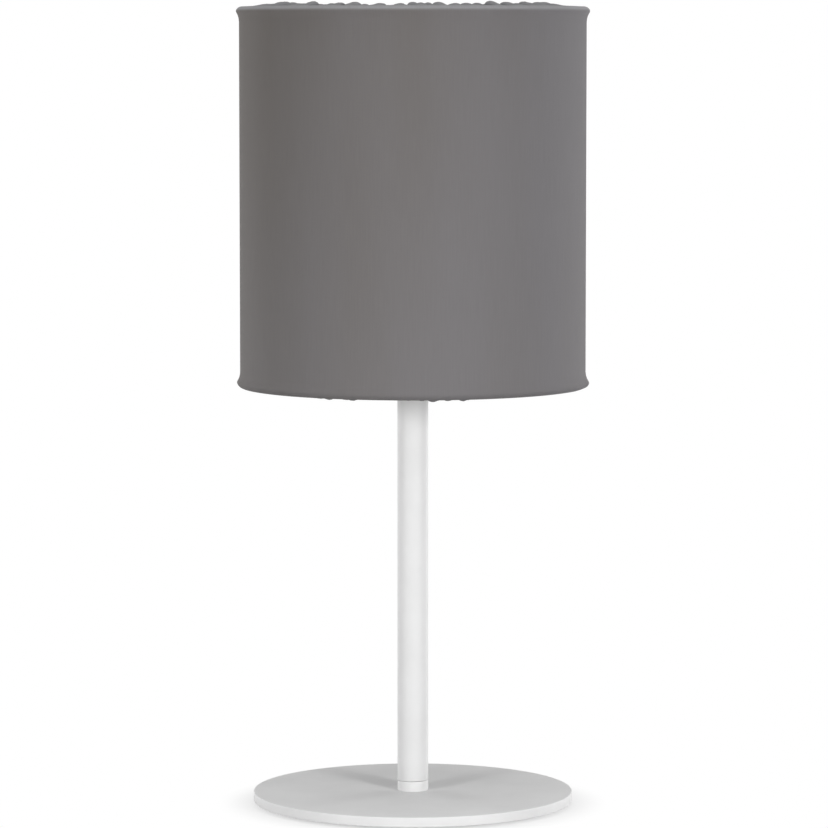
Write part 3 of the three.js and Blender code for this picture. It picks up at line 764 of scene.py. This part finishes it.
def makeSpiderArm(number, size=spiderArm):
    seat, _, fitter = limits("fitter_ring")
    landing = middleOf("bottom_ring")[2]
    level = seat - size["gap"] - size["radius"]
    end = ringCentre - ringWire["radius"]
    corners = [Vector((radius, 0, height)) for radius, height in (
        (fitter - size["lap"], level), (fitter + size["level"], level),
        (end - size["gap"] - size["landing"], landing), (end + size["gap"], landing),
    )]
    path = corners[:1]
    for before, corner, after in zip(corners, corners[1:], corners[2:]):
        start = corner + (before - corner).normalized() * size["bend"]
        finish = corner + (after - corner).normalized() * size["bend"]
        for i in range(size["bendSteps"] + 1):
            share = i / size["bendSteps"]
            path.append(start.lerp(corner, share).lerp(corner.lerp(finish, share), share))
    bm = sweptWire(path + corners[-1:], size)
    for radius, height, name in ((fitter, seat, "fitterBead"), (end, landing, "ringBead")):
        out, up, bead = size[name]
        weldBead(bm, (radius + out, 0, height + up), bead)
    turn = pi / 2 + number / 3 * fullTurn
    bmesh.ops.rotate(bm, matrix=Matrix.Rotation(turn, 3, "Z"), verts=bm.verts)
    node = f"spider_arm_{number}"
    addPiece(bm, f"spider_wire_{number}", powderCoat, "shade", [node])


liner = dict(steps=192, thickness=0.4, lapWidth=12, lapAt=100, lapSteps=8)


def makeLiner(size=liner):
    # A strip of film, rolled up and glued along an overlap at the back
    low, high, outer = limits("shade_liner")
    inner = outer - size["thickness"]
    bm = hoop(outer, inner, low, high, size)
    lap = inner - size["thickness"]
    corners = [(inner, low), (inner, high), (lap, high), (lap, low)]
    verts = [bm.verts.new((radius, 0, height)) for radius, height in corners]
    start = bm.faces.new(verts)
    turn = size["lapWidth"] / inner
    lapFrom = Matrix.Rotation(radians(size["lapAt"]) - turn / 2, 3, "Z")
    bmesh.ops.rotate(bm, matrix=lapFrom, verts=verts)
    spun(bm, [start], size["lapSteps"], turn)
    addPiece(bm, "liner_film", calenderedPvc, "shade", ["shade_liner"])


makeWasher(fitterRing, "fitter_ring", "fitter_washer", powderCoat, "shade")
for ring in ("bottom", "top"):
    makeWireRing(f"{ring}_ring", f"{ring}_wire_ring")
for number in (1, 2, 3, 4):
    makeUpright(number)
for number in (1, 2, 3):
    makeSpiderArm(number)
makeLiner()
print("shade frame made")

# Cloth cover: one sheet, stretched over the two rings and gathered inside them on elastic

cover = dict(
    columns=684, thickness=0.6, flatWidth=775, wall=122.5, wallRows=3,
    flare=7.5, topRipple=0.25, bottomRipple=0.45,
    rippleEvery=19,  # mm round the ring from one soft ripple to the next
    rippleTurn=100,  # mm of height over which the ripples change
    rippleShare=(0.35, 1.3),  # what stays between the ripples, and how much they swing
    rippleFrom=(90, 20),  # degrees round the wire where they start and are full
    seamWidth=6.5, seamEdge=1, seamRise=0.8,
)

gathers = dict(
    # Crests at the front: degrees to the right of the middle, and rise above the hem's own level
    topFront=[
        (-74, 1.9), (-59, 0.7), (-48.5, 1.9), (-41, 0.1), (-33, 1.1), (-25, 1.6), (-14, 0.7),
        (-5.6, 0.6), (3.2, 0.6), (7.4, -0.4), (11, 1.7), (17.6, 0.6), (23, 0.6), (35.8, 2.3),
        (44.2, 1.8), (58.5, 1.5), (72, 1.4),
    ],
    bottomFront=[
        (-66, 1.0), (-58, 1.3), (-50, 0.8), (-38.5, 2.0), (-32, 0.3), (-26.5, 1.9), (-17, 0.7),
        (-10, 0.9), (-2.8, 1.3), (3.4, 1.5), (8.6, 2.1), (15.2, 1.9), (21.5, 1.9), (26.5, 1.1),
        (39, 1.3), (48, 1.0), (60, 1.5), (71, 1.1),
    ],
    spacing=(3.8, 7.0),  # degrees between crests round the sides and back
    rise=(0.8, 2.6), halfWidth=(3.2, 4.9), lean=1.0, bulge=1.3,
    crown=(0.45, 0.55, 1.6),  # a crest's rounded share, its creased share and that one's power
    spread=0.5,  # how much wider a crest gets on its way out
    sink=0.9,  # how far the valleys sink between the crests
    scallop=0.55, scallopTo=2,  # inwards for each mm of rise, up to this rise
    fullFrom=100,  # radius inside which the gathers stand at full height
    reach=(107, 120),  # radii where they die away
    steepness=2.2,  # how late they rise on the way in
    creases=[(0.25, 5), (0.16, 2.4)],  # rise, and mm round the hem from one to the next
    creaseRadius=97, creaseLength=9, hemsApart=20,
)

# The cloth's path at one ring, from its turned-in edge round the casing's fold and out over the
# ring: radius, and rise from the middle of the ring
casingPath = [
    (99.0, 2.2), (97.2, 1.35), (94.6, 0.75), (92.2, 0.75), (90.95, 1.25), (90.4, 2.05),
    (90.5, 2.95), (91.2, 3.6), (92.6, 4.0), (94.8, 4.05), (97.0, 3.7), (98.4, 3.2), (99.3, 2.8),
    (100.3, 2.85), (101.8, 3.0), (104.0, 3.12), (106.8, 3.18), (110.0, 3.2), (113.2, 3.18),
    (116.2, 3.12), (118.9, 3.02),
]
elasticRise = 2.38
stitchRow = 12
# Round the wire: degrees above its outermost point, and distance from its middle
wrapPath = [
    (88, 2.93), (70, 2.9), (54, 2.9), (40, 2.94), (26, 3.06), (13, 3.24), (3, 3.36), (-8, 3.3),
]
flarePath = [(1.28, 0.26), (0.7, 0.45), (0.28, 0.67)]  # out from the wall, and share of the flare


def coverEnd(ring, up, ripple):
    # The rows of cloth at one ring, from the turned-in edge to where the wall begins.
    # Each is radius, height and the height of the soft ripples there.
    level = middleOf(ring)[2]
    rows = [(radius, level + up * rise, 0) for radius, rise in casingPath]
    for degrees, away in wrapPath:
        angle = radians(degrees)
        radius = ringCentre + away * cos(angle)
        height = level + up * away * sin(angle)
        rows.append((radius, height, ripple * smoothstep(*cover["rippleFrom"], degrees)))
    for out, share in [*flarePath, (0, 1)]:
        height = level - up * share * cover["flare"]
        rows.append((cover["wall"] + out, height, ripple * (1 - share)))
    return rows


def makePuckers(front, seed):
    # Irregular puckers round one hem: the angle of each crest, its rise, half width and lean,
    # and the radius where it dies away
    draw = random.Random(seed)
    crests = [(radians(degrees - 90), rise) for degrees, rise in front]
    angle = crests[-1][0] + radians(draw.uniform(*gathers["spacing"]))
    while angle < crests[0][0] + fullTurn - radians(gathers["spacing"][0]):
        crests.append((angle, draw.uniform(*gathers["rise"])))
        angle += radians(draw.uniform(*gathers["spacing"]))
    return [
        (
            angle, rise, draw.uniform(*gathers["halfWidth"]),
            draw.uniform(-1, 1) * gathers["lean"], draw.uniform(*gathers["reach"]),
        )
        for angle, rise in crests
    ]


# Each hem's puckers, and which way it lifts
hems = {
    "top": (makePuckers(gathers["topFront"], 11), 1),
    "bottom": (makePuckers(gathers["bottomFront"], 12), -1),
}


def gatheredPoint(radius, angle, level, puckers, up):
    # Where a point of the hem comes to lie when the puckers lift it and push it aside
    size = gathers
    full = size["fullFrom"]
    rounded, creased, power = size["crown"]
    rise = -size["sink"] * smoothstep(size["reach"][0], full, radius)
    side = 0
    for place, crest, halfWidth, lean, reach in puckers:
        across = ((angle - place + pi) % fullTurn - pi) * radius
        spread = halfWidth * (1 + size["spread"] * smoothstep(full, reach, radius))
        if abs(across) >= spread or radius >= reach:
            continue
        pull = smoothstep(reach, full, radius) ** size["steepness"]
        share = across / spread
        soft = 0.5 + 0.5 * cos(pi * share)
        crown = rounded * soft + creased * (1 - abs(share) ** power)
        rise += pull * (crest + size["sink"]) * crown
        side += pull * (size["bulge"] * sin(pi * share) + lean * crown)
    pull = smoothstep(size["reach"][1], full, radius)
    for height, every in size["creases"]:
        # Read round a circle, so that the creases meet where the turn ends
        away = size["creaseRadius"] / every
        along = up * size["hemsApart"] + radius / size["creaseLength"]
        crease = noise.noise((away * cos(angle), away * sin(angle), along))
        rise += pull * height * 2 * crease
    reached = radius - pull * size["scallop"] * max(0, min(size["scallopTo"], rise))
    turn = angle + side / radius
    return Vector((reached * cos(turn), reached * sin(turn), level + up * rise))


def seamLift(angle):
    # How far the flat felled seam at the back stands out from the cloth
    across = abs((angle - pi / 2 + pi) % fullTurn - pi) * cover["wall"]
    half = cover["seamWidth"] / 2
    return cover["seamRise"] * smoothstep(half + cover["seamEdge"], half, across)


def makeCover(size=cover):
    top = coverEnd("top_ring", 1, size["topRipple"])
    bottom = coverEnd("bottom_ring", -1, size["bottomRipple"])
    wallTop, wallBottom = top[-1][1], bottom[-1][1]
    wall = [
        (size["wall"], wallTop + (wallBottom - wallTop) * i / size["wallRows"], 0)
        for i in range(1, size["wallRows"])
    ]
    rows = top + wall + bottom[::-1]
    lengths = [0]
    for before, here in zip(rows, rows[1:]):
        lengths.append(lengths[-1] + dist(before[:2], here[:2]))
    bm = bmesh.new()
    rowOf = bm.verts.layers.int.new("row")
    verts = []
    for i, (radius, height, ripple) in enumerate(rows):
        verts.append(bm.verts.new((radius, 0, height)))
        verts[i][rowOf] = i
    spun(bm, verts + [bm.edges.new(pair) for pair in zip(verts, verts[1:])], size["columns"])
    uv = bm.loops.layers.uv.new("cloth")
    for face in bm.faces:
        places = [loop.vert.co for loop in face.loops]
        angles = [(atan2(place.y, place.x) - pi / 2) % fullTurn for place in places]
        wraps = max(angles) - min(angles) > pi
        for loop, angle in zip(face.loops, angles):
            if wraps and angle < pi:
                angle += fullTurn
            around = angle / fullTurn * size["flatWidth"]
            loop[uv].uv = (around * mm, lengths[loop.vert[rowOf]] * mm)
    # Ripples and the seam lift the cloth along its own normal, then the hems are gathered
    steady, swing = size["rippleShare"]
    for vert in bm.verts:
        row = vert[rowOf]
        radius, height, ripple = rows[row]
        before, after = rows[max(row - 1, 0)], rows[min(row + 1, len(rows) - 1)]
        along = Vector((after[0] - before[0], after[1] - before[1])).normalized()
        angle = atan2(vert.co.y, vert.co.x)
        turns = Vector((cos(angle), sin(angle))) * ringCentre / size["rippleEvery"]
        wave = noise.noise((turns.x, turns.y, height / size["rippleTurn"]))
        lift = seamLift(angle) + ripple * max(0, steady + swing * wave)
        radius -= along.y * lift
        height += along.x * lift
        hem = "top" if row < len(top) else "bottom"
        vert.co = gatheredPoint(radius, angle, height, *hems[hem])
    nodes = ["cover_sleeve", "top_hem", "bottom_hem"]
    piece = addPiece(bm, "cloth_cover", cloth, "shade", nodes, 80)
    solid = piece.modifiers.new("cloth_thickness", "SOLIDIFY")
    solid.thickness = size["thickness"] * mm
    solid.offset = 0
    print("cloth length", round(lengths[-1], 1), "mm")


elasticBand = dict(steps=528, inner=91.6, outer=96.6, thickness=0.6)


def makeElastic(end, puckers, up, size=elasticBand):
    # The band that gathers the hem runs inside its casing and puckers with it
    middle = middleOf(f"{end}_ring")[2] + up * elasticRise
    half = size["thickness"] / 2
    bm = hoop(size["outer"], size["inner"], middle - half, middle + half, size)
    for vert in bm.verts:
        angle = atan2(vert.co.y, vert.co.x)
        vert.co = gatheredPoint(vert.co.xy.length, angle, vert.co.z, puckers, up)
    node = f"{end}_elastic"
    addPiece(bm, f"{node}_band", braidedElastic, "shade", [node])


stitching = dict(
    perHem=230, perSeam=92, fill=0.62, thread=0.22, sides=6, rings=4,
    proud=0.36,  # of the hem's middle level
    seamProud=0.31, seamInset=1,
)


def makeStitches(name, places, size=stitching):
    # A row of stitches, each lying between the two points given for it
    stitch = bmesh.new()
    bmesh.ops.create_uvsphere(
        stitch, u_segments=size["sides"], v_segments=size["rings"], radius=1
    )
    lone = bpy.data.meshes.new("stitch")
    stitch.to_mesh(lone)
    stitch.free()
    bm = bmesh.new()
    for start, end in places:
        along = end - start
        before = len(bm.verts)
        bm.from_mesh(lone)
        bm.verts.ensure_lookup_table()
        place = Matrix.Translation((start + end) / 2)
        shape = Matrix.Diagonal((size["thread"], size["thread"], along.length / 2, 1))
        turn = along.to_track_quat("Z", "Y").to_matrix().to_4x4()
        bmesh.ops.transform(bm, matrix=place @ turn @ shape, verts=bm.verts[before:])
    bpy.data.meshes.remove(lone)
    addPiece(bm, name, sewingThread, "shade", [], 80)


def makeHemStitches(end, puckers, up, size=stitching):
    # The row that closes the casing, lying in the valley it draws in the hem
    radius, rise = casingPath[stitchRow]
    height = middleOf(f"{end}_ring")[2] + up * (rise + size["proud"])
    step = fullTurn / size["perHem"]
    half = size["fill"] * step / 2
    makeStitches(f"{end}_stitches", [
        [gatheredPoint(radius, i * step + turn, height, puckers, up) for turn in (-half, half)]
        for i in range(size["perHem"])
    ])


def makeSeamStitches(size=stitching):
    # Two rows down the felled seam at the back
    radius = cover["wall"] + cover["seamRise"] + size["seamProud"]
    low = middleOf("bottom_ring")[2] + cover["flare"]
    high = middleOf("top_ring")[2] - cover["flare"]
    step = (high - low) / size["perSeam"]
    half = size["fill"] * step / 2
    places = []
    for side in (-1, 1):
        angle = pi / 2 + side * (cover["seamWidth"] / 2 - size["seamInset"]) / cover["wall"]
        x, y = radius * cos(angle), radius * sin(angle)
        for i in range(size["perSeam"]):
            middle = low + (i + 0.5) * step
            places.append([Vector((x, y, middle - half)), Vector((x, y, middle + half))])
    makeStitches("seam_stitches", places)


makeCover()
for end, hem in hems.items():
    makeElastic(end, *hem)
for end, hem in hems.items():
    makeHemStitches(end, *hem)
makeSeamStitches()
print("cover made")

# Shade ring

shadeRing = dict(
    steps=288, bore=19.9, wall=2, rim=0.6, edge=0.5,
    pitch=3, threadDepth=-0.5, threadInset=0.4, rowsPerTurn=10,
    ribs=24, ribDepth=1, ribEdge=0.35,
)


def makeShadeRing(size=shadeRing):
    low, high, outer = limits("shade_ring")
    start, finish = low + size["threadInset"], high - size["threadInset"]
    section = [
        (outer, low), (outer, low + size["rim"]), (outer, high - size["rim"]), (outer, high),
        *threadRows(size["bore"], start, finish, size)[::-1],
    ]
    bm = turned(section, size)
    bevelSharp(bm, size["edge"], 3, lambda co: co.xy.length > outer - close)

    def rib(radius, angle, height):
        if radius < outer - size["wall"]:
            return 0
        wave = cos(size["ribs"] * angle)
        return -size["ribDepth"] * smoothstep(size["ribEdge"], -size["ribEdge"], wave)

    reshape(bm, rib)
    cutThread(bm, size["bore"], start, finish, size)
    addPiece(bm, "ring_nut", mouldedPbt, "shade_ring", ["shade_ring"], 45)


makeShadeRing()
print("shade ring made")

# Bulb

bulbTip = dict(steps=64, rows=8)


def makeBulbTip():
    low, high, outer = limits("bulb_contact")
    section = domed(0, outer, low, high - low, bulbTip["rows"]) + [(0, high)]
    bm = turned(section, bulbTip)
    addPiece(bm, "cap_tip", nickelPlatedBrass, "bulb", ["bulb_contact"])


bulbInsulator = dict(steps=96, rows=8, bow=0.5, rim=0.8)


def makeBulbInsulator(size=bulbInsulator):
    low, high, outer = limits("bulb_insulator")
    tip = limits("bulb_contact")[2]
    section = [(0, low), (tip, low)]
    for i in range(1, size["rows"] + 1):
        share = i / size["rows"]
        bow = size["bow"] * sin(share * pi)
        height = low + (high - size["rim"] - low) * share - bow / 2
        section.append((tip + (outer - tip) * share + bow, height))
    bm = turned(section + [(outer, high), (0, high)], size)
    addPiece(bm, "glass_insulator", fusedGlass, "bulb", ["bulb_insulator"])


bulbCap = dict(
    steps=144, shoulder=2, band=3, bandRows=8, lip=0.6,
    start=9.5,  # radius where the black glass meets the shell
    pitch=3.63, threadDepth=1, rowsPerTurn=14,
    crimps=12, crimpDepth=0.45, crimpWidth=0.8, crimpHeight=0.6,
)


def makeBulbCap(size=bulbCap):
    low, high, outer = limits("bulb_cap")
    start, finish = low + size["shoulder"], high - size["band"]
    rows = size["bandRows"]
    section = [
        (0, low), (size["start"], low),
        *threadRows(outer, start, finish, size),
        *[(outer, finish + (high - finish) * i / rows) for i in range(1, rows + 1)],
        (outer - size["lip"], high), (0, high),
    ]
    bm = turned(section, size)
    cutThread(bm, outer, start, finish, size)
    level = high - size["band"] / 2
    step = fullTurn / size["crimps"]

    def crimp(radius, angle, height):
        if radius < outer - close or abs(height - level) > 2 * size["crimpHeight"]:
            return 0
        across = ((angle + step / 2) % step - step / 2) * outer / size["crimpWidth"]
        above = (height - level) / size["crimpHeight"]
        return -size["crimpDepth"] * exp(-(across**2) - above**2)

    reshape(bm, crimp)
    addPiece(bm, "screw_cap", nickelPlatedBrass, "bulb", ["bulb_cap"])


bulbHousing = dict(
    steps=144, rows=20, neck=13.4, edge=0.5,
    groove=(1.5, 2.5), grooveDepth=0.4,  # where the plastic grips the cap
)


def makeBulbHousing(size=bulbHousing):
    low, high, outer = limits("bulb_housing")
    section = [(0, low)]
    for i in range(size["rows"] + 1):
        share = i / size["rows"]
        radius = size["neck"] + (outer - size["neck"]) * sin(share * pi / 2)
        section.append((radius, low + (high - low) * share))
    bm = turned(section + [(0, high)], size)
    grooveFrom, grooveTo = size["groove"]

    def groove(radius, angle, height):
        return -size["grooveDepth"] if grooveFrom < height - low < grooveTo else 0

    reshape(bm, groove)
    bevelSharp(bm, size["edge"], 3)
    addPiece(bm, "bulb_body", mouldedPbt, "bulb", ["bulb_housing"])


bulbGlobe = dict(steps=128, rows=36, wall=1)


def makeBulbGlobe(size=bulbGlobe):
    low, high, radius = limits("bulb_globe")
    middle = high - radius

    def arc(reach):
        lowest = asin((low - middle) / reach)
        points = []
        for i in range(size["rows"] + 1):
            angle = pi / 2 + (lowest - pi / 2) * i / size["rows"]
            points.append((reach * max(0, cos(angle)), middle + reach * sin(angle)))
        points[0] = (0, points[0][1])
        return points

    bm = turned(arc(radius - size["wall"]) + arc(radius)[::-1], size)
    addPiece(bm, "opal_globe", opalPolycarbonate, "bulb", ["bulb_globe"])


makeBulbTip()
makeBulbInsulator()
makeBulbCap()
makeBulbHousing()
makeBulbGlobe()
print("bulb made")

# Stage

stage = dict(
    floorColour="#e4e4e4", floorSize=30, ambient=0.2,
    whiteNear=0.065,  # metres from the post where the floor starts to turn to plain white
    whiteFar=0.142,
)
white = (1, 1, 1, 1)

lights = {
    # Place, the height on the post that it points at, width and height, and watts
    "key_light": ((1.5, -2.15, 0.62), 0.3, (0.42, 0.7), 32),
    "fill_light": ((-1.45, -1.75, 0.52), 0.3, (0.42, 0.5), 16.5),
    "high_light": ((0, -0.35, 2.5), 0.5, (2.0, 1.6), 17),
    "back_light_left": ((-1.85, 1.5, 0.4), 0.3, (1.0, 0.7), 14),
    "back_light_right": ((1.85, 1.5, 0.4), 0.3, (1.0, 0.7), 17),
}


def directlySeen(tree):
    # 1 where the camera sees a surface itself or in metal or glass, 0 where it only lights
    rays = addNode(tree, "LightPath")
    seen = rays["Is Camera Ray"]
    for name in ("Is Glossy Ray", "Is Transmission Ray"):
        seen = addNode(tree, "Math", {0: seen, 1: rays[name]}, operation="MAXIMUM")[0]
    return seen


def makeFloor():
    bm = bmesh.new()
    bmesh.ops.create_grid(bm, x_segments=2, y_segments=2, size=stage["floorSize"] / 2)
    floor = meshObject(bm, "floor")
    material, tree, shader = newMaterial(
        "pale_floor", Base_Color=linearColour(stage["floorColour"]), Roughness=0.9,
        Specular_IOR_Level=0,
    )
    place = addNode(tree, "TexCoord")["Object"]
    away = addNode(tree, "VectorMath", {0: place}, operation="LENGTH")["Value"]
    fade = addNode(
        tree, "MapRange",
        {"Value": away, "From Min": stage["whiteNear"], "From Max": stage["whiteFar"]},
        interpolation_type="SMOOTHSTEP",
    )["Result"]
    share = addNode(tree, "Math", {0: fade, 1: directlySeen(tree)}, operation="MULTIPLY")[0]
    glow = addNode(tree, "Emission", {"Color": white, "Strength": 1})[0]
    mixed = addNode(tree, "MixShader", {0: share, 1: shader.outputs[0], 2: glow})[0]
    feed(tree.nodes["Material Output"], {"Surface": mixed})
    floor.data.materials.append(material)


def makeWorld():
    world = bpy.data.worlds.new("studio")
    world.use_nodes = True
    bpy.context.scene.world = world
    tree = world.node_tree
    ambient = tree.nodes["Background"]
    feed(ambient, {"Color": white, "Strength": stage["ambient"]})
    glow = addNode(tree, "Background", {"Color": white, "Strength": 1})[0]
    mixed = addNode(tree, "MixShader", {0: directlySeen(tree), 1: ambient.outputs[0], 2: glow})[0]
    feed(tree.nodes["World Output"], {"Surface": mixed})


makeFloor()
makeWorld()
for name, (place, targetHeight, size, power) in lights.items():
    data = bpy.data.lights.new(name, "AREA")
    data.shape = "RECTANGLE"
    data.size, data.size_y = size
    data.energy = power
    light = addObject(name, data)
    light.location = place
    aim = Vector((0, 0, targetHeight)) - Vector(place)
    light.rotation_euler = aim.to_track_quat("-Z", "Y").to_euler()
bpy.context.scene.view_settings.view_transform = "Standard"
print("stage made")
